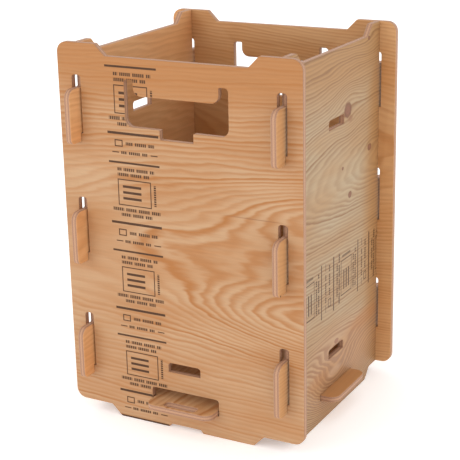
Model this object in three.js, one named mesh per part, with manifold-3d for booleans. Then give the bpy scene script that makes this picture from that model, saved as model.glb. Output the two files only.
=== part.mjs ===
// A tall open-topped storage crate in the manner of an apple box, cut from five sheets of
// plywood and put together without fasteners. Two side panels carry hooks that hang in slots
// of the front and back panels, and the floor panel has a tab through each of the four walls.
// Crates stack: the middle of each wall reaches below its feet and drops into the lowered rim
// of the crate underneath.
// Millimetres, +Z up. The origin is on the ground at the middle of the crate, the front panel
// faces -Y, and +X is the right-hand side as seen from the front.
import * as THREE from "three";
import { mergeVertices } from "three/addons/utils/BufferGeometryUtils.js";
import Module from "manifold-3d";

// Overall sizes
const PLY = 9; // thickness of every panel
const WIDTH = 375; // of the front and back panels
const DEPTH = 324; // over the outer faces of the front and back panels
const HEIGHT = 551; // ground to the top of the ears
const STACK_STEP = 16; // ears over the lowered rim, and feet over the ground
const OVERHANG = 25; // every hook and tab reaches this far past the wall it goes through
const FIT = 0.3; // gap between faces that touch

// Edges of the walls
const EAR_WIDTH = 62; // flat top of an ear and flat underside of a foot, front and back panels
const SIDE_EAR_WIDTH = 36; // the same on the side panels, from the crate's outer face
const CORNER_RADIUS = 15;
const BEVEL_RADIUS = 3; // where a flat meets a 45 degree slope
const SMALL_RADIUS = 1.5;
const BASE_NOTCH_WIDTH = 56;
const BASE_NOTCH_HEIGHT = 5;
const BASE_NOTCH_SLOPE = 4;

// Hook slots and hooks
const HOOK_SLOT_WIDTH = 14;
const HOOK_SLOT_HEIGHT = 82;
const HOOK_SLOT_LOWEST = 73; // lower end of the lowest slot
const HOOK_PITCH = 175.5;
const HOOKS_PER_EDGE = 3;
const NECK_HEIGHT = 64.5; // the part of a hook that passes through its slot
const HOOK_DROP = 12; // how far a hook hangs below the lower end of its slot
const HOOK_GAP = 0.5; // between a hook and the panel it hangs on
const HOOK_TOP_RADIUS = 13;
const HOOK_TIP_RADIUS = 8;

// Small slots, all one size. Every slot's upper corners are rounded
const SLOT_LENGTH = 52;
const SLOT_HEIGHT = 14;
const SLOT_RADIUS = 4.5;
const LOW_SLOT_Z = 86.5;
const HIGH_SLOT_Z = 426.5;

// Hand hole: a wide window with a grip tongue hanging between two notches
const HAND_WIDTH = 160;
const HAND_SILL_Z = 440;
const HAND_TOP_Z = 505.5;
const TONGUE_Z = 483.5;
const TONGUE_WIDTH = 132;
const HAND_RADIUS = 12;
const HAND_TOP_RADIUS = 5;

// Floor panel and the openings its tabs go through
const FLOOR_Z = 33.5; // underside
const TAB_WIDTH = 106;
const TAB_RADIUS = 14;
const TAB_SLOT_SETBACK = 6; // from the wall's outer face to the slot in the tab
const TAB_OPENING_WIDTH = 109;
const WALL_TAB_OPENING_HEIGHT = 24.5; // front and back, tall enough to unhook the panel
const SIDE_TAB_OPENING_HEIGHT = 10;

const RIM_Z = HEIGHT - STACK_STEP;
const ARC_SEGMENTS = 2;

// A closed outline through corners given as [u, v, radius], each rounded by its own radius.
function outline(corners) {
  const path = new THREE.Shape();
  const points = corners.map(([u, v]) => new THREE.Vector2(u, v));
  corners.forEach(([, , radius = 0], i) => {
    const corner = points[i];
    const back = points.at(i - 1).clone().sub(corner).normalize();
    const ahead = points[(i + 1) % points.length].clone().sub(corner).normalize();
    if (radius === 0) {
      if (i === 0) path.moveTo(corner.x, corner.y);
      else path.lineTo(corner.x, corner.y);
      return;
    }
    const half = Math.acos(THREE.MathUtils.clamp(back.dot(ahead), -1, 1)) / 2;
    const start = corner.clone().addScaledVector(back, radius / Math.tan(half));
    const end = corner.clone().addScaledVector(ahead, radius / Math.tan(half));
    const inwards = back.clone().add(ahead).normalize();
    const centre = corner.clone().addScaledVector(inwards, radius / Math.sin(half));
    const angle = (point) => Math.atan2(point.y - centre.y, point.x - centre.x);
    const clockwise = back.cross(ahead) > 0;
    if (i === 0) path.moveTo(start.x, start.y);
    path.absarc(centre.x, centre.y, radius, angle(start), angle(end), clockwise);
  });
  path.closePath();
  return path;
}

// Corners on one side of the centre line, followed by their mirror images in reverse order.
function mirrored(corners) {
  return [...corners, ...corners.map(([u, v, radius]) => [-u, v, radius]).reverse()];
}

// A slot with rounded upper corners and a square sill.
function slot(middle, width, sill, height, radius = SLOT_RADIUS) {
  const half = width / 2;
  return outline([
    [middle - half, sill],
    [middle + half, sill],
    [middle + half, sill + height, radius],
    [middle - half, sill + height, radius],
  ]);
}

// Solids for the cuts
const wasm = await Module();
wasm.setup();

function toSolid(shape, depth, from) {
  const geometry = new THREE.ExtrudeGeometry(shape, {
    depth,
    bevelEnabled: false,
    curveSegments: ARC_SEGMENTS,
  });
  geometry.deleteAttribute("normal");
  geometry.deleteAttribute("uv");
  geometry.translate(0, 0, from);
  const merged = mergeVertices(geometry, 1e-3);
  const vertProperties = merged.attributes.position.array;
  const triVerts = new Uint32Array(merged.index.array);
  return new wasm.Manifold(new wasm.Mesh({ numProp: 3, vertProperties, triVerts }));
}

function toGeometry(solid) {
  const { vertProperties, triVerts } = solid.getMesh();
  const geometry = new THREE.BufferGeometry();
  geometry.setAttribute("position", new THREE.BufferAttribute(vertProperties, 3));
  geometry.setIndex(new THREE.BufferAttribute(triVerts, 1));
  const faceted = geometry.toNonIndexed();
  faceted.computeVertexNormals();
  return faceted;
}

// A sheet of plywood cut to an outline with its openings cut through. The outline's u and v
// run along two of the crate's axes, and the sheet fills PLY from `from` along the third.
const AXES = {
  x: new THREE.Vector3(1, 0, 0),
  y: new THREE.Vector3(0, 1, 0),
  z: new THREE.Vector3(0, 0, 1),
};
function panel(name, { edge, openings }, [u, v, normal], from, color) {
  let sheet = toSolid(edge, PLY, 0);
  for (const opening of openings) sheet = sheet.subtract(toSolid(opening, 3 * PLY, -PLY));
  const material = new THREE.MeshStandardMaterial({ color, roughness: 0.68, metalness: 0 });
  const mesh = new THREE.Mesh(toGeometry(sheet), material);
  const thickness = AXES[u].clone().cross(AXES[v]);
  mesh.setRotationFromMatrix(new THREE.Matrix4().makeBasis(AXES[u], AXES[v], thickness));
  // u cross v points along the normal or against it, so the sheet starts at one face or the other
  mesh.position[normal] = thickness[normal] > 0 ? from : from + PLY;
  mesh.name = name;
  return mesh;
}

const hookSills = Array.from({ length: HOOKS_PER_EDGE }, (_, i) => HOOK_SLOT_LOWEST + i * HOOK_PITCH);
const halfWidth = WIDTH / 2;
const halfDepth = DEPTH / 2;
const sideOuterX = halfWidth - OVERHANG;
const sideMiddleX = sideOuterX - PLY / 2;

// Front and back panels
function endPanel() {
  const earEnd = halfWidth - EAR_WIDTH;
  const baseEnd = earEnd - STACK_STEP;
  const notchEnd = BASE_NOTCH_WIDTH / 2;
  const edge = outline(
    mirrored([
      [notchEnd - BASE_NOTCH_SLOPE, BASE_NOTCH_HEIGHT, SMALL_RADIUS],
      [notchEnd, 0, SMALL_RADIUS],
      [baseEnd, 0, BEVEL_RADIUS],
      [earEnd, STACK_STEP, BEVEL_RADIUS],
      [halfWidth, STACK_STEP, CORNER_RADIUS],
      [halfWidth, HEIGHT, CORNER_RADIUS],
      [earEnd, HEIGHT, BEVEL_RADIUS],
      [baseEnd, RIM_Z, BEVEL_RADIUS],
    ]),
  );
  const hookSlots = [-sideMiddleX, sideMiddleX].flatMap((x) =>
    hookSills.map((sill) => slot(x, HOOK_SLOT_WIDTH, sill, HOOK_SLOT_HEIGHT)),
  );
  const openings = [
    ...hookSlots,
    slot(0, SLOT_LENGTH, LOW_SLOT_Z, SLOT_HEIGHT),
    slot(0, TAB_OPENING_WIDTH, FLOOR_Z - FIT, WALL_TAB_OPENING_HEIGHT),
    handHole(),
  ];
  return { edge, openings };
}

function handHole() {
  return outline(
    mirrored([
      [SLOT_LENGTH / 2, HIGH_SLOT_Z, SMALL_RADIUS],
      [SLOT_LENGTH / 2, HAND_SILL_Z, SMALL_RADIUS],
      [HAND_WIDTH / 2, HAND_SILL_Z, HAND_RADIUS],
      [HAND_WIDTH / 2, HAND_TOP_Z, HAND_TOP_RADIUS],
      [TONGUE_WIDTH / 2, HAND_TOP_Z, SMALL_RADIUS],
      [TONGUE_WIDTH / 2, TONGUE_Z, HAND_RADIUS],
    ]),
  );
}

// Side panels: between the end panels, with three hooks through each of them
function sidePanel() {
  const wallEnd = halfDepth - PLY - FIT;
  const hookFace = halfDepth + HOOK_GAP;
  const hookEnd = halfDepth + OVERHANG;
  const earEnd = halfDepth - SIDE_EAR_WIDTH;
  const baseEnd = earEnd - STACK_STEP;
  const edge = outline(
    mirrored([
      [baseEnd, 0, BEVEL_RADIUS],
      [earEnd, STACK_STEP, BEVEL_RADIUS],
      [wallEnd, STACK_STEP],
      ...hookSills.flatMap((sill) => [
        [wallEnd, sill + FIT],
        [hookFace, sill + FIT],
        [hookFace, sill - HOOK_DROP, SMALL_RADIUS],
        [hookEnd, sill - HOOK_DROP, HOOK_TIP_RADIUS],
        [hookEnd, sill + NECK_HEIGHT, HOOK_TOP_RADIUS],
        [wallEnd, sill + NECK_HEIGHT, SMALL_RADIUS],
      ]),
      [wallEnd, HEIGHT, SMALL_RADIUS],
      [earEnd, HEIGHT, BEVEL_RADIUS],
      [baseEnd, RIM_Z, BEVEL_RADIUS],
    ]),
  );
  const openingSill = FLOOR_Z - (SIDE_TAB_OPENING_HEIGHT - PLY) / 2;
  const openings = [
    slot(0, SLOT_LENGTH, LOW_SLOT_Z, SLOT_HEIGHT),
    slot(0, SLOT_LENGTH, HIGH_SLOT_Z, SLOT_HEIGHT),
    slot(0, TAB_OPENING_WIDTH, openingSill, SIDE_TAB_OPENING_HEIGHT, SMALL_RADIUS / 2),
  ];
  return { edge, openings };
}

// Floor panel: four tabs, and a slot through the front and back ones
function floorPanel() {
  const edgeX = sideOuterX - PLY - FIT;
  const edgeY = halfDepth - PLY - FIT;
  const tab = TAB_WIDTH / 2;
  const tabEndY = halfDepth + OVERHANG;
  const edge = outline(
    mirrored([
      [tab, -tabEndY, TAB_RADIUS],
      [tab, -edgeY, SMALL_RADIUS],
      [edgeX, -edgeY],
      [edgeX, -tab, SMALL_RADIUS],
      [halfWidth, -tab, TAB_RADIUS],
      [halfWidth, tab, TAB_RADIUS],
      [edgeX, tab, SMALL_RADIUS],
      [edgeX, edgeY],
      [tab, edgeY, SMALL_RADIUS],
      [tab, tabEndY, TAB_RADIUS],
    ]),
  );
  const inner = halfDepth + TAB_SLOT_SETBACK;
  const outer = inner + SLOT_HEIGHT;
  const tabSlot = (low, high) =>
    outline([
      [-SLOT_LENGTH / 2, low, SLOT_RADIUS],
      [SLOT_LENGTH / 2, low, SLOT_RADIUS],
      [SLOT_LENGTH / 2, high, SLOT_RADIUS],
      [-SLOT_LENGTH / 2, high, SLOT_RADIUS],
    ]);
  return { edge, openings: [tabSlot(-outer, -inner), tabSlot(inner, outer)] };
}

const LARCH = 0xc4905e;
const PALE_LARCH = 0xbfa27a;
const crate = new THREE.Group();
crate.add(
  panel("front_panel", endPanel(), ["x", "z", "y"], -halfDepth, LARCH),
  panel("back_panel", endPanel(), ["x", "z", "y"], halfDepth - PLY, LARCH),
  panel("left_side_panel", sidePanel(), ["y", "z", "x"], -sideOuterX, PALE_LARCH),
  panel("right_side_panel", sidePanel(), ["y", "z", "x"], sideOuterX - PLY, PALE_LARCH),
  panel("floor_panel", floorPanel(), ["x", "y", "z"], FLOOR_Z, PALE_LARCH),
);

export default crate;
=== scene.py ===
"""A tall stacking crate of larch plywood: five sheets hooked and slotted together without
fasteners. Metres, +Z up, the front panel facing -Y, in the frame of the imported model."""

import math

import bmesh
import bpy
from mathutils import Matrix, Vector


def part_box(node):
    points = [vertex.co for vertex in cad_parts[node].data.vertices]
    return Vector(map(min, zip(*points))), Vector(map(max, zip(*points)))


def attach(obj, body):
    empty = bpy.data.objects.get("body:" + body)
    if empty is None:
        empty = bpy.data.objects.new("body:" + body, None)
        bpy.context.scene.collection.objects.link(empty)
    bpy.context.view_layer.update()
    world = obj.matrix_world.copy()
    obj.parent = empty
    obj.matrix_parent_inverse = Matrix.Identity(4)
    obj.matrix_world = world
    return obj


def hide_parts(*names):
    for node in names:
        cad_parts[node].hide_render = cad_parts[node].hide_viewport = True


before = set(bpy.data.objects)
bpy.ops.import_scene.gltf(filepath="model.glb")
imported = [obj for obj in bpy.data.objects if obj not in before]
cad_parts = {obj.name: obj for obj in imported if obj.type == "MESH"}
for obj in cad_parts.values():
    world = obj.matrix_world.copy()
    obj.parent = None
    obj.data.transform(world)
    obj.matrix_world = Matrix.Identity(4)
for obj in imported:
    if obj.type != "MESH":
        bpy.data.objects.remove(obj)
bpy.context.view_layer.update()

# Front and back panels
# Two sheets of plywood routed to one outline, with ears and feet at the corners, three hook
# slots down each side and a hand hole with a grip tongue. They hang on the side panels' hooks.
MM = 0.001
front_low, front_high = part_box("front_panel")
PLY = (front_high.y - front_low.y) / MM
HALF_WIDTH = front_high.x / MM
HALF_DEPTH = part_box("back_panel")[1].y / MM
HEIGHT = front_high.z / MM
STACK_STEP = 16
RIM_Z = HEIGHT - STACK_STEP
OVERHANG = 25
SIDE_OUTER_X = HALF_WIDTH - OVERHANG
CORNER_RADIUS = 15
BEVEL_RADIUS = 3
SMALL_RADIUS = 1.5
SLOT_RADIUS = 4.5
EDGE_EASE = 0.9
ARC_STEPS = 7
EASE_STEPS = 3
SHARP_DEGREES = 40

EAR_WIDTH = 62
NOTCH_END = 28
NOTCH_HEIGHT = 5
NOTCH_SLOPE = 4
HOOK_SILLS = (73, 248.5, 424)
HOOK_SLOT = (14, 82)
LOW_SLOT_Z = 86.5
HIGH_SLOT_Z = 426.5
SMALL_SLOT = (52, 14)
HAND_WIDTH = 160
HAND_SILL_Z = 440
HAND_TOP_Z = 505.5
HAND_RADIUS = 12
HAND_TOP_RADIUS = 5
TONGUE_Z = 483.5
TONGUE_WIDTH = 132
FLOOR_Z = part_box("floor_panel")[0].z / MM
FIT = 0.3
TAB_OPENING_WIDTH = 109
WALL_TAB_OPENING = (TAB_OPENING_WIDTH, 24.5)


def mirrored(corners):
    """Corners on one side of the centre line, then their mirror images in reverse order."""
    return [*corners, *[(-u, v, radius) for u, v, radius in reversed(corners)]]


def slot(middle, sill, size, radius=SLOT_RADIUS):
    """The corners of a slot with a square sill and rounded upper corners."""
    half, top = size[0] / 2, sill + size[1]
    return [
        (middle - half, sill, 0),
        (middle + half, sill, 0),
        (middle + half, top, radius),
        (middle - half, top, radius),
    ]


def routed_line(corners):
    """The closed line through corners given as (u, v, radius), with an arc at each radius."""
    line = []
    for i, (u, v, radius) in enumerate(corners):
        corner = Vector((u, v))
        back = (Vector(corners[i - 1][:2]) - corner).normalized()
        ahead = (Vector(corners[(i + 1) % len(corners)][:2]) - corner).normalized()
        if not radius:
            line.append(corner)
            continue
        half = back.angle(ahead) / 2
        centre = corner + (back + ahead).normalized() * radius / math.sin(half)
        start = corner + back * radius / math.tan(half) - centre
        end = corner + ahead * radius / math.tan(half) - centre
        sweep = math.remainder(
            math.atan2(end.y, end.x) - math.atan2(start.y, start.x), math.tau
        )
        for step in range(ARC_STEPS + 1):
            line.append(centre + Matrix.Rotation(sweep * step / ARC_STEPS, 2) @ start)
    return line


def drawn_in(line, amount):
    """The line moved sideways by amount, to its left, with its corners kept square."""
    moved = []
    for i, point in enumerate(line):
        before = (point - line[i - 1]).normalized().orthogonal()
        after = (line[(i + 1) % len(line)] - point).normalized().orthogonal()
        moved.append(point + (before + after) * amount / (1 + before.dot(after)))
    return moved


def plywood_sheet(name, outline, openings, place):
    """One closed sheet with eased edges. place(u, v, depth) gives a point of the crate, where
    depth runs from the outer face to the inner one."""
    quarter = [math.pi / 2 * step / EASE_STEPS for step in range(EASE_STEPS + 1)]
    profile = [
        (EDGE_EASE * (1 - math.sin(a)), EDGE_EASE * (1 - math.cos(a))) for a in quarter
    ]
    profile += [(inset, PLY - depth) for inset, depth in reversed(profile)]
    cut = bmesh.new()
    rims = []
    lines = [routed_line(outline)]
    lines += [routed_line(opening)[::-1] for opening in openings]
    for line in lines:
        rings = [
            [
                cut.verts.new(place(u, v, depth))
                for u, v in drawn_in(line, inset)
            ]
            for inset, depth in profile
        ]
        for low, high in zip(rings, rings[1:]):
            for i in range(len(line)):
                face = cut.faces.new((low[i - 1], low[i], high[i], high[i - 1]))
                face.smooth = True
        rims.append((rings[0], rings[-1]))
    for side in (0, 1):
        edges = [
            cut.edges.get((rim[side][i - 1], rim[side][i]))
            for rim in rims
            for i in range(len(rim[side]))
        ]
        bmesh.ops.triangle_fill(cut, use_beauty=True, edges=edges)
    bmesh.ops.recalc_face_normals(cut, faces=cut.faces)
    mesh = bpy.data.meshes.new(name)
    cut.to_mesh(mesh)
    cut.free()
    mesh.set_sharp_from_angle(angle=math.radians(SHARP_DEGREES))
    sheet = bpy.data.objects.new(name, mesh)
    bpy.context.collection.objects.link(sheet)
    return sheet


class Finish:
    """The node tree of one material, put together a step at a time. A step takes numbers or
    the outputs of other steps, in the order of the node's own inputs."""

    def __init__(self, name):
        self.material = bpy.data.materials.new(name)
        self.material.use_nodes = True
        self.tree = self.material.node_tree
        self.tree.nodes.clear()

    def step(self, kind, *values, **settings):
        node = self.tree.nodes.new(kind)
        for key, value in settings.items():
            setattr(node, key, value)
        for socket, value in zip(node.inputs, values):
            if isinstance(value, bpy.types.NodeSocket):
                self.tree.links.new(value, socket)
            elif value is not None:
                socket.default_value = value
        return node.outputs[0] if node.outputs else None

    def maths(self, operation, *values):
        return self.step("ShaderNodeMath", *values, operation=operation)

    def vectors(self, operation, *values):
        return self.step("ShaderNodeVectorMath", *values, operation=operation)

    def vector(self, *parts):
        return self.step("ShaderNodeCombineXYZ", *parts)

    def parts(self, vector):
        return self.step("ShaderNodeSeparateXYZ", vector).node.outputs

    def ease(self, value, start, end, low=0, high=1):
        """low up to start, high from end on, and a smooth change between them."""
        return self.step(
            "ShaderNodeMapRange",
            value,
            start,
            end,
            low,
            high,
            interpolation_type="SMOOTHSTEP",
        )

    def noise(self, vector, detail=2):
        """Noise about 0, roughly from -0.5 to 0.5, at one wave to each unit of the vector."""
        cloud = self.step("ShaderNodeTexNoise", vector, None, 1, detail)
        return self.maths("SUBTRACT", cloud, 0.5)

    def blend(self, factor, first, second):
        """The first colour at factor 0, the second at 1. The node's colours are inputs 6 and 7."""
        skipped = [None] * 5
        mix = self.step("ShaderNodeMix", factor, *skipped, first, second, data_type="RGBA")
        return mix.node.outputs[2]


def tint(code):
    """A colour in linear light, as the shader takes it, from its hexadecimal screen code."""
    parts = [int(code[i : i + 2], 16) / 255 for i in (0, 2, 4)]
    return (*[c / 12.92 if c <= 0.04045 else ((c + 0.055) / 1.055) ** 2.4 for c in parts], 1)


def printed_strip(finish, across, down):
    """How much ink a repeating strip of marks puts at a place: bars, rows of plain dashes and
    plain frames. across is measured from one edge of the strip, and down along it."""
    width, repeat = 82, 129
    turn = finish.maths("WRAP", down, repeat, 0)
    spot = finish.vector(across, turn, 0)

    def block(middle, size):
        """Distance inside a rectangle, negative outside it."""
        away = finish.vectors("ABSOLUTE", finish.vectors("SUBTRACT", spot, (*middle, 0)))
        room = finish.vectors("SUBTRACT", (size[0] / 2, size[1] / 2, 0), away)
        return finish.maths("MINIMUM", *finish.parts(room)[:2])

    def dashes(row, along, start, pitch, gap):
        """A row broken by gaps, measured across the middle of each."""
        beat = finish.maths("PINGPONG", finish.maths("SUBTRACT", along, start), pitch / 2)
        return finish.maths("MINIMUM", row, finish.maths("SUBTRACT", beat, gap / 2))

    def hollow(middle, size, line):
        """A rectangle drawn with a line."""
        hole = block(middle, (size[0] - 2 * line, size[1] - 2 * line))
        return finish.maths("MINIMUM", block(middle, size), finish.maths("MULTIPLY", hole, -1))

    # Each mark is its middle and its size, both across and down the strip
    full_bars = [((width / 2, 1.8), (width, 3.6)), ((width / 2, 43.4), (width, 2.8))]
    dashed_rows = [
        ((52, 16), (46, 4.4)),
        ((42, 29), (42, 4)),
        ((43, 53), (60, 4.4)),
        ((39, 60.5), (52, 4.4)),
        ((41, 111), (79, 4.6)),
        ((42, 118.5), (50, 4.4)),
    ]
    dash_pitch, dash_gap, dash_shift = 3.1, 0.8, 5
    group_pitch, group_gap, group_shift = 21, 3, 11
    short_bars = [((12, 29), (11, 1.5)), ((74, 29), (11, 1.5))]
    plain_frames = [((17.5, 16), (13, 10), 1.6), ((40, 86), (54, 38), 1.5)]
    framed_bars = [((36, 86 + rise), (30, 3.6)) for rise in (-8.5, 0, 8.5)]
    tick_column, tick_pitch, tick_gap = ((73, 86), (3.4, 30)), 3.3, 0.9
    blur = 0.25

    marks = [block(*bar) for bar in full_bars]
    for i, row in enumerate(dashed_rows):
        broken = dashes(block(*row), across, dash_shift * i, dash_pitch, dash_gap)
        marks.append(dashes(broken, across, group_shift * i, group_pitch, group_gap))
    marks += [block(*bar) for bar in short_bars]
    marks += [hollow(*plain_frame) for plain_frame in plain_frames]
    marks += [block(*bar) for bar in framed_bars]
    marks.append(dashes(block(*tick_column), turn, 0, tick_pitch, tick_gap))
    inside = marks[0]
    for mark in marks[1:]:
        inside = finish.maths("MAXIMUM", inside, mark)
    return finish.ease(inside, -blur, blur)


def larch_plywood(
    name,
    grain,
    across,
    through,
    heart,
    veneer,
    seed,
    ring_gap=5,
    swells=(),
    knots=(),
    patches=(),
    stains=(),
    strip=None,
):
    """Plywood as a solid: a larch veneer on each face, dark glue lines, and a paler core.
    grain and across are axes of the crate, and through is the axis of the thickness, the outer
    face's place on it and the way in. heart is where the veneer passes the middle of the tree:
    its place across, its depth, and how much deeper it gets for each millimetre of grain.
    Ovals on the outer face start with (along, across, length, width): a swell adds the rings it
    lifts the veneer by, a knot how many times its size the grain bends round it, a patch how much
    it calms the rings and how much it warms and darkens the colour, which on some patches is
    painted shade, and a stain its own colour and how strong that is. strip says where a printed
    strip lies and how much its ink covers."""
    finish = Finish(name)
    here = finish.step("ShaderNodeTexCoord").node.outputs["Object"]
    scaled = finish.vectors("MULTIPLY", here, (1 / MM, 1 / MM, 1 / MM))
    axes = finish.parts(scaled)
    u, v = axes[grain], axes[across]
    axis, outer_face, inwards = through
    depth = finish.maths("SUBTRACT", axes[axis], outer_face)
    depth = finish.maths("MULTIPLY", depth, inwards)
    below = finish.maths("MINIMUM", depth, finish.maths("SUBTRACT", PLY, depth))

    # The inner face is another veneer, cut from elsewhere in the same tree
    inner_seed_step, inner_heart_step, inner_calming = 17, 60, 0.55
    inner = finish.maths("GREATER_THAN", depth, PLY / 2)
    layer = finish.maths("MULTIPLY_ADD", inner, inner_seed_step, seed)
    outer = finish.maths("SUBTRACT", 1, inner)

    def closeness(along, side, length, width):
        """1 at a spot on the outer veneer, falling to 0 at the rim of an oval round it."""
        away = finish.vectors("SUBTRACT", finish.vector(u, v, 0), (along, side, 0))
        away = finish.vectors("MULTIPLY", away, (2 / length, 2 / width, 0))
        reach = finish.vectors("LENGTH", away).node.outputs["Value"]
        return finish.maths("MULTIPLY", finish.ease(reach, 1, 0), outer)

    def mottle(along, side):
        """Noise drawn out to these lengths along the grain and across it."""
        place = finish.vector(
            finish.maths("DIVIDE", u, along), finish.maths("DIVIDE", v, side), layer
        )
        return finish.noise(place)

    # Growth rings: how far each place is from the heart, bent round the knots
    bend_length, bend_share = 1.4, 0.75
    bent = v
    for along, side, length, width, sweep in knots:
        pull = closeness(along, side, length * sweep * bend_length, width * sweep)
        reach = finish.maths("SUBTRACT", side, bent)
        reach = finish.maths("MULTIPLY", reach, bend_share)
        bent = finish.maths("MULTIPLY_ADD", pull, reach, bent)
    heart_place = finish.maths("MULTIPLY_ADD", inner, inner_heart_step, heart[0])
    off_heart = finish.maths("SUBTRACT", bent, heart_place)
    level = finish.maths("MULTIPLY_ADD", u, heart[2], heart[1])
    radius = finish.maths("MULTIPLY", level, level)
    radius = finish.maths("SQRT", finish.maths("MULTIPLY_ADD", off_heart, off_heart, radius))
    rings = finish.maths("DIVIDE", radius, ring_gap)
    wander, ripple, slant = 3, 1.2, 0.12
    rings = finish.maths("MULTIPLY_ADD", mottle(230, 75), wander, rings)
    rings = finish.maths("MULTIPLY_ADD", mottle(60, 14), ripple, rings)
    rings = finish.maths("MULTIPLY_ADD", below, slant, rings)
    for along, side, length, width, lift in swells:
        rings = finish.maths(
            "MULTIPLY_ADD", closeness(along, side, length, width), lift, rings
        )
    season = finish.maths("FRACT", rings)
    year = finish.maths("ADD", finish.maths("FLOOR", rings), layer)
    vigour = finish.step("ShaderNodeTexWhiteNoise", None, year, noise_dimensions="1D")

    # Late wood darkens the later part of each ring, some years more than others
    late_start, late_peak, faintest = 0.05, 0.7, 0.35
    darkening = finish.ease(season, late_start, late_peak)
    late = finish.maths("MULTIPLY", darkening, finish.ease(season, 1, late_peak))
    strength = finish.maths("MULTIPLY_ADD", vigour, 1 - faintest, faintest)
    late = finish.maths("MULTIPLY", late, strength)
    calmed = finish.maths("MULTIPLY_ADD", inner, -inner_calming, 1)
    late = finish.maths("MULTIPLY", late, calmed)
    warmth_range, most_warmth, patch_full = 0.22, 0.6, 0.6
    warmth_and_painted_shade = finish.ease(mottle(170, 55), -warmth_range, warmth_range, 0, most_warmth)
    # Patches calm the rings and warm the colour; on some patches the warmer, darker colour is
    # painted shade
    for along, side, length, width, calming, warming_and_painted_shade in patches:
        near = closeness(along, side, length, width)
        late = finish.maths("MULTIPLY", late, finish.ease(near, 0, patch_full, 1, 1 - calming))
        warmth_and_painted_shade = finish.maths("MAXIMUM", warmth_and_painted_shade, finish.ease(near, 0, patch_full, 0, warming_and_painted_shade))

    # Early wood in its two tones, the warmer one also laid on as painted shade, late wood, fibres,
    # knots and stains
    pale, warm, dark = [tint(code) for code in veneer]
    wood = finish.blend(warmth_and_painted_shade, pale, warm)
    wood = finish.blend(late, wood, dark)
    fibre = mottle(14, 0.5)
    fibre_contrast, band_contrast = 0.16, 0.2
    shade = finish.maths("MULTIPLY_ADD", fibre, fibre_contrast, 1)
    shade = finish.maths("MULTIPLY_ADD", mottle(140, 3), band_contrast, shade)
    wood = finish.vectors("MULTIPLY", wood, finish.vector(shade, shade, shade))
    knot_rim, knot_heart, raggedness = tint("74462f"), tint("93624a"), 2
    rim_starts, heart_starts, rim_cover, heart_cover = 0.02, 0.3, 0.85, 0.55
    for *oval, _ in knots:
        near = closeness(*oval)
        ragged = finish.maths("MULTIPLY_ADD", mottle(5, 4), raggedness, 1)
        near = finish.maths("MULTIPLY", near, ragged)
        rim = finish.ease(near, rim_starts, heart_starts, 0, rim_cover)
        wood = finish.blend(rim, wood, knot_rim)
        wood = finish.blend(finish.ease(near, heart_starts, 1, 0, heart_cover), wood, knot_heart)
    stain_full = 0.8
    for *oval, colour, strength in stains:
        near = finish.ease(closeness(*oval), 0, stain_full, 0, strength)
        wood = finish.blend(near, wood, tint(colour))

    if strip:
        ink_colour, ink_depth, ink_wear = tint("46280d"), 0.4, 0.5
        ink = printed_strip(finish, *strip["place"](finish, u, v))
        ink = finish.maths("MULTIPLY", ink, finish.ease(depth, ink_depth, ink_depth / 2))
        cover = finish.maths("MULTIPLY_ADD", fibre, ink_wear, strip["cover"])
        wood = finish.blend(finish.maths("MULTIPLY", ink, cover), wood, ink_colour)

    # Cut edges show the layers. The sheet's middle is core, between two glue lines
    face_end, veneer_to_glue, glue_to_core = 0.15, (2.15, 1.95), (1.85, 1.65)
    grit_range = 0.3
    grit = finish.ease(finish.noise(scaled, detail=3), -grit_range, grit_range)
    edge = finish.blend(grit, tint("b48c70"), tint("9a7058"))
    core = finish.blend(grit, tint("c3997b"), tint("b08366"))
    middle = finish.maths("ABSOLUTE", finish.maths("SUBTRACT", depth, PLY / 2))
    edge = finish.blend(finish.ease(middle, *veneer_to_glue), edge, tint("6d4632"))
    edge = finish.blend(finish.ease(middle, *glue_to_core), edge, core)
    colour = finish.blend(finish.ease(below, face_end, EDGE_EASE), wood, edge)

    # Fibres and late wood stand a little proud, and late wood is the smoother
    fibre_relief, late_relief, bump_strength, bump_metres = 0.5, 0.6, 0.35, 0.0002
    relief = finish.maths("MULTIPLY", late, late_relief)
    relief = finish.maths("MULTIPLY_ADD", fibre, fibre_relief, relief)
    bump = finish.step("ShaderNodeBump", bump_strength, bump_metres)
    finish.tree.links.new(relief, bump.node.inputs["Height"])
    roughness, fibre_roughness, late_roughness, specular = 0.58, 0.3, -0.08, 0.35
    rough = finish.maths("MULTIPLY_ADD", fibre, fibre_roughness, roughness)
    rough = finish.maths("MULTIPLY_ADD", late, late_roughness, rough)
    surface = finish.step("ShaderNodeBsdfPrincipled", colour)
    surface.node.inputs["Specular IOR Level"].default_value = specular
    finish.tree.links.new(rough, surface.node.inputs["Roughness"])
    finish.tree.links.new(bump, surface.node.inputs["Normal"])
    finish.step("ShaderNodeOutputMaterial", surface)
    return finish.material


def finished(sheet, material, body, node):
    """The sheet takes its material and stands for its CAD node on that body."""
    sheet.data.materials.append(material)
    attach(sheet, body)
    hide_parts(node)


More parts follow.
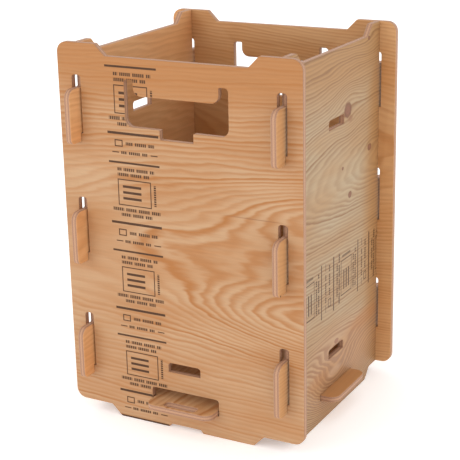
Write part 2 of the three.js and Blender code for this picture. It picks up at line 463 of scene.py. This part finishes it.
ear_end = HALF_WIDTH - EAR_WIDTH
base_end = ear_end - STACK_STEP
end_outline = mirrored(
    [
        (NOTCH_END - NOTCH_SLOPE, NOTCH_HEIGHT, SMALL_RADIUS),
        (NOTCH_END, 0, SMALL_RADIUS),
        (base_end, 0, BEVEL_RADIUS),
        (ear_end, STACK_STEP, BEVEL_RADIUS),
        (HALF_WIDTH, STACK_STEP, CORNER_RADIUS),
        (HALF_WIDTH, HEIGHT, CORNER_RADIUS),
        (ear_end, HEIGHT, BEVEL_RADIUS),
        (base_end, RIM_Z, BEVEL_RADIUS),
    ]
)
hand_hole = mirrored(
    [
        (SMALL_SLOT[0] / 2, HIGH_SLOT_Z, SMALL_RADIUS),
        (SMALL_SLOT[0] / 2, HAND_SILL_Z, SMALL_RADIUS),
        (HAND_WIDTH / 2, HAND_SILL_Z, HAND_RADIUS),
        (HAND_WIDTH / 2, HAND_TOP_Z, HAND_TOP_RADIUS),
        (TONGUE_WIDTH / 2, HAND_TOP_Z, SMALL_RADIUS),
        (TONGUE_WIDTH / 2, TONGUE_Z, HAND_RADIUS),
    ]
)
side_middle = SIDE_OUTER_X - PLY / 2
end_openings = [
    slot(x, sill, HOOK_SLOT) for x in (-side_middle, side_middle) for sill in HOOK_SILLS
]
end_openings += [
    slot(0, LOW_SLOT_Z, SMALL_SLOT),
    slot(0, FLOOR_Z - FIT, WALL_TAB_OPENING),
    hand_hole,
]


def on_front(u, v, depth):
    return Vector((u, depth - HALF_DEPTH, v)) * MM


def on_back(u, v, depth):
    return Vector((u, HALF_DEPTH - depth, v)) * MM


STRIP_LEFT = -110
STRIP_TOP = 432
PRINT_STRETCH = 0.945


def front_strip(finish, u, v):
    """How far across its strip a place is, and how far down from STRIP_TOP. Above that line
    the pattern goes on, a little stretched."""
    across = finish.maths("SUBTRACT", u, STRIP_LEFT)
    down = finish.maths("SUBTRACT", STRIP_TOP, v)
    stretched = finish.maths("MULTIPLY", down, PRINT_STRETCH)
    return across, finish.maths("MAXIMUM", down, stretched)


front_plywood = larch_plywood(
    "front_larch",
    grain=0,
    across=2,
    through=(1, -HALF_DEPTH, 1),
    heart=(265, 170, -0.05),
    veneer=("be9873", "b07a4a", "a76a32"),
    seed=3,
    swells=[(215, 350, 480, 130, -4.5), (205, 190, 480, 150, -8), (-200, 350, 240, 90, 2)],
    patches=[
        # Calmer rings over the top, and a warmer, darker colour there as painted shade
        (0, 590, 1200, 380, 0.35, 1),
        (-150, 240, 260, 560, 0.5, 0),
        (60, 50, 600, 240, 0.4, 0),
    ],
    stains=[(118, 333, 150, 2.4, "7a4d30", 0.45)],
    strip={"place": front_strip, "cover": 1},
)
front = plywood_sheet("front_sheet", end_outline, end_openings, on_front)
finished(front, front_plywood, "front", "front_panel")

back_plywood = larch_plywood(
    "back_larch",
    grain=0,
    across=2,
    through=(1, HALF_DEPTH, -1),
    heart=(300, 120, 0.1),
    veneer=("cfa070", "c28448", "a96a33"),
    seed=11,
    ring_gap=4,
)
back = plywood_sheet("back_sheet", end_outline, end_openings, on_back)
finished(back, back_plywood, "back", "back_panel")

# Side panels
# Two sheets of the same plywood between the end panels. Three hooks on each edge pass through
# the end panels' slots and drop to hold them. The right one's outer veneer is pale and knotty.
HOOK_NECK = 64.5
HOOK_DROP = 12
HOOK_GAP = 0.5
HOOK_TOP_RADIUS = 13
HOOK_TIP_RADIUS = 8
SIDE_EAR_WIDTH = 36
SIDE_TAB_OPENING_HEIGHT = 10

wall_end = HALF_DEPTH - PLY - FIT
side_ear_end = HALF_DEPTH - SIDE_EAR_WIDTH
hook_corners = [
    corner
    for sill in HOOK_SILLS
    for corner in (
        (wall_end, sill + FIT, 0),
        (HALF_DEPTH + HOOK_GAP, sill + FIT, 0),
        (HALF_DEPTH + HOOK_GAP, sill - HOOK_DROP, SMALL_RADIUS),
        (HALF_DEPTH + OVERHANG, sill - HOOK_DROP, HOOK_TIP_RADIUS),
        (HALF_DEPTH + OVERHANG, sill + HOOK_NECK, HOOK_TOP_RADIUS),
        (wall_end, sill + HOOK_NECK, SMALL_RADIUS),
    )
]
side_outline = mirrored(
    [
        (side_ear_end - STACK_STEP, 0, BEVEL_RADIUS),
        (side_ear_end, STACK_STEP, BEVEL_RADIUS),
        (wall_end, STACK_STEP, 0),
        *hook_corners,
        (wall_end, HEIGHT, SMALL_RADIUS),
        (side_ear_end, HEIGHT, BEVEL_RADIUS),
        (side_ear_end - STACK_STEP, RIM_Z, BEVEL_RADIUS),
    ]
)
side_tab_sill = FLOOR_Z - (SIDE_TAB_OPENING_HEIGHT - PLY) / 2
side_openings = [
    slot(0, LOW_SLOT_Z, SMALL_SLOT),
    slot(0, HIGH_SLOT_Z, SMALL_SLOT),
    slot(0, side_tab_sill, (TAB_OPENING_WIDTH, SIDE_TAB_OPENING_HEIGHT), SMALL_RADIUS / 2),
]


def on_left(u, v, depth):
    return Vector((depth - SIDE_OUTER_X, u, v)) * MM


def on_right(u, v, depth):
    return Vector((SIDE_OUTER_X - depth, u, v)) * MM


STRIP_FIRST_Y = 121.5
STRIP_LOW_Z = 157.5


def side_strip(finish, u, v):
    """How far across its strip a place is, from the lower edge, and how far along it."""
    return finish.maths("SUBTRACT", v, STRIP_LOW_Z), finish.maths("SUBTRACT", STRIP_FIRST_Y, u)


right_plywood = larch_plywood(
    "right_larch",
    grain=1,
    across=2,
    through=(0, SIDE_OUTER_X, -1),
    heart=(351, 45, -0.15),
    veneer=("b29d7f", "ad8152", "8a623b"),
    seed=23,
    ring_gap=4.8,
    swells=[(60, 540, 200, 60, 2), (-60, 480, 300, 120, 1.5), (-5, 45, 300, 150, -9.5)],
    knots=[
        (38, 443, 33, 30, 3.2),
        (118, 371, 19, 14, 3),
        (47, 317, 16, 14, 3),
        (21, 362, 9, 7, 3),
        (1, 107, 20, 9, 8),
        (112, 533, 10, 8, 10),
    ],
    patches=[
        (-195, 280, 100, 1400, 0, 0.9),
        # Warmer and darker towards the back end: painted shadow of the back panel's overhang
        (200, 280, 320, 1400, 0, 0.95),
        # Warmer and darker over the top: painted shade
        (30, 600, 1000, 440, 0, 0.9),
        (-10, 350, 460, 110, 0.6, 0),
        (60, 40, 560, 230, -0.9, 0.8),
    ],
    stains=[
        (-190, 280, 120, 1400, "d69d69", 0.6),
        (10, 75, 480, 190, "cf9c7c", 0.25),
        (105, 108, 190, 44, "b0733f", 0.4),
        (-62, 68, 120, 38, "b0794b", 0.35),
        (-5, 62, 76, 24, "dcb897", 0.4),
        (48, 429, 26, 16, "8a5a3c", 0.5),
        (165, 268, 34, 8, "7a4d30", 0.5),
    ],
    strip={"place": side_strip, "cover": 0.9},
)
right = plywood_sheet("right_side_sheet", side_outline, side_openings, on_right)
finished(right, right_plywood, "core", "right_side_panel")

left_plywood = larch_plywood(
    "left_larch",
    grain=1,
    across=2,
    through=(0, -SIDE_OUTER_X, 1),
    heart=(230, 150, 0.12),
    veneer=("dda977", "d6945c", "bd7f45"),
    seed=37,
    ring_gap=7,
)
left = plywood_sheet("left_side_sheet", side_outline, side_openings, on_left)
finished(left, left_plywood, "core", "left_side_panel")

# Floor panel
# One sheet laid flat between the walls, with a tab through each of them. A cord or a strap
# can pass through the slots in the front and back tabs.
TAB_HALF = 53
TAB_RADIUS = 14
TAB_SLOT_SETBACK = 6

floor_end_x = SIDE_OUTER_X - PLY - FIT
tab_slot_middle = HALF_DEPTH + TAB_SLOT_SETBACK + SMALL_SLOT[1] / 2
floor_outline = mirrored(
    [
        (TAB_HALF, -HALF_DEPTH - OVERHANG, TAB_RADIUS),
        (TAB_HALF, -wall_end, SMALL_RADIUS),
        (floor_end_x, -wall_end, 0),
        (floor_end_x, -TAB_HALF, SMALL_RADIUS),
        (HALF_WIDTH, -TAB_HALF, TAB_RADIUS),
        (HALF_WIDTH, TAB_HALF, TAB_RADIUS),
        (floor_end_x, TAB_HALF, SMALL_RADIUS),
        (floor_end_x, wall_end, 0),
        (TAB_HALF, wall_end, SMALL_RADIUS),
        (TAB_HALF, HALF_DEPTH + OVERHANG, TAB_RADIUS),
    ]
)
tab_slots = [
    [
        (u * SMALL_SLOT[0] / 2, middle + v * SMALL_SLOT[1] / 2, SLOT_RADIUS)
        for u, v in ((-1, -1), (1, -1), (1, 1), (-1, 1))
    ]
    for middle in (-tab_slot_middle, tab_slot_middle)
]


def on_floor(u, v, depth):
    return Vector((u, v, FLOOR_Z + PLY - depth)) * MM


floor_plywood = larch_plywood(
    "floor_larch",
    grain=1,
    across=0,
    through=(2, FLOOR_Z + PLY, -1),
    heart=(60, 70, 0.1),
    veneer=("cda075", "b57e4b", "a86c3a"),
    seed=51,
    ring_gap=8,
    patches=[(0, 190, 260, 120, 0.8, 0.9)],
)
floor = plywood_sheet("floor_sheet", floor_outline, tab_slots, on_floor)
finished(floor, floor_plywood, "core", "floor_panel")

# Studio
# A plain pale floor, an even white surround, and two large soft lights: the stronger one in
# front on the left, the weaker one on the right.
STUDIO_HALF = 9
FLOOR_ROUGHNESS = 0.8
FLOOR_GLOW = 0.3
SURROUND_STRENGTH = 1.05
WHITE = (1, 1, 1, 1)

ground = bpy.data.meshes.new("studio_floor")
corners = [(x * STUDIO_HALF, y * STUDIO_HALF, 0) for x, y in ((-1, -1), (1, -1), (1, 1), (-1, 1))]
ground.from_pydata(corners, [], [(0, 1, 2, 3)])
studio_floor = bpy.data.objects.new("studio_floor", ground)
bpy.context.collection.objects.link(studio_floor)
pale = Finish("pale_floor")
matt = pale.step("ShaderNodeBsdfPrincipled", tint("f9f8f7"), None, FLOOR_ROUGHNESS)
matt.node.inputs["Emission Color"].default_value = WHITE
matt.node.inputs["Emission Strength"].default_value = FLOOR_GLOW
pale.step("ShaderNodeOutputMaterial", matt)
ground.materials.append(pale.material)

world = bpy.data.worlds.new("white_surround")
world.use_nodes = True
surround = world.node_tree.nodes["Background"]
surround.inputs["Color"].default_value = WHITE
surround.inputs["Strength"].default_value = SURROUND_STRENGTH
bpy.context.scene.world = world

crate_middle = Vector((0, 0, HEIGHT * MM / 2))
for name, place, size, power in (
    ("key_light", (-1.6, -2.6, 1.4), 1.6, 14),
    ("right_light", (3.0, -0.8, 1.8), 1.8, 5),
):
    lamp = bpy.data.lights.new(name, "AREA")
    lamp.size = size
    lamp.energy = power
    stand = bpy.data.objects.new(name, lamp)
    stand.location = place
    stand.rotation_euler = (crate_middle - Vector(place)).to_track_quat("-Z", "Y").to_euler()
    bpy.context.collection.objects.link(stand)

# Camera
# Right of the front and a little above the rim, tipped by about a degree.
CAMERA_AZIMUTH = math.radians(28.73)
CAMERA_ELEVATION = math.radians(17.95)
CAMERA_ROLL = math.radians(-1.26)
CAMERA_DISTANCE = 1.7727
FOCAL_LENGTH = 103.66
SENSOR_WIDTH = 36
AIM = Vector((0.0789, -0.162, 0.3135))

toward = Vector(
    (
        -math.sin(CAMERA_AZIMUTH) * math.cos(CAMERA_ELEVATION),
        math.cos(CAMERA_AZIMUTH) * math.cos(CAMERA_ELEVATION),
        -math.sin(CAMERA_ELEVATION),
    )
)
lens = bpy.data.cameras.new("camera")
lens.sensor_width = SENSOR_WIDTH
lens.lens = FOCAL_LENGTH
camera = bpy.data.objects.new("camera", lens)
upright = Vector((math.cos(CAMERA_AZIMUTH), math.sin(CAMERA_AZIMUTH), 0))
turn = Matrix((upright, upright.cross(toward), -toward)).transposed()
turn = Matrix.Rotation(CAMERA_ROLL, 3, -toward) @ turn
camera.matrix_world = Matrix.Translation(AIM - toward * CAMERA_DISTANCE) @ turn.to_4x4()
bpy.context.collection.objects.link(camera)
bpy.context.scene.camera = camera
bpy.context.scene.view_settings.view_transform = "Standard"
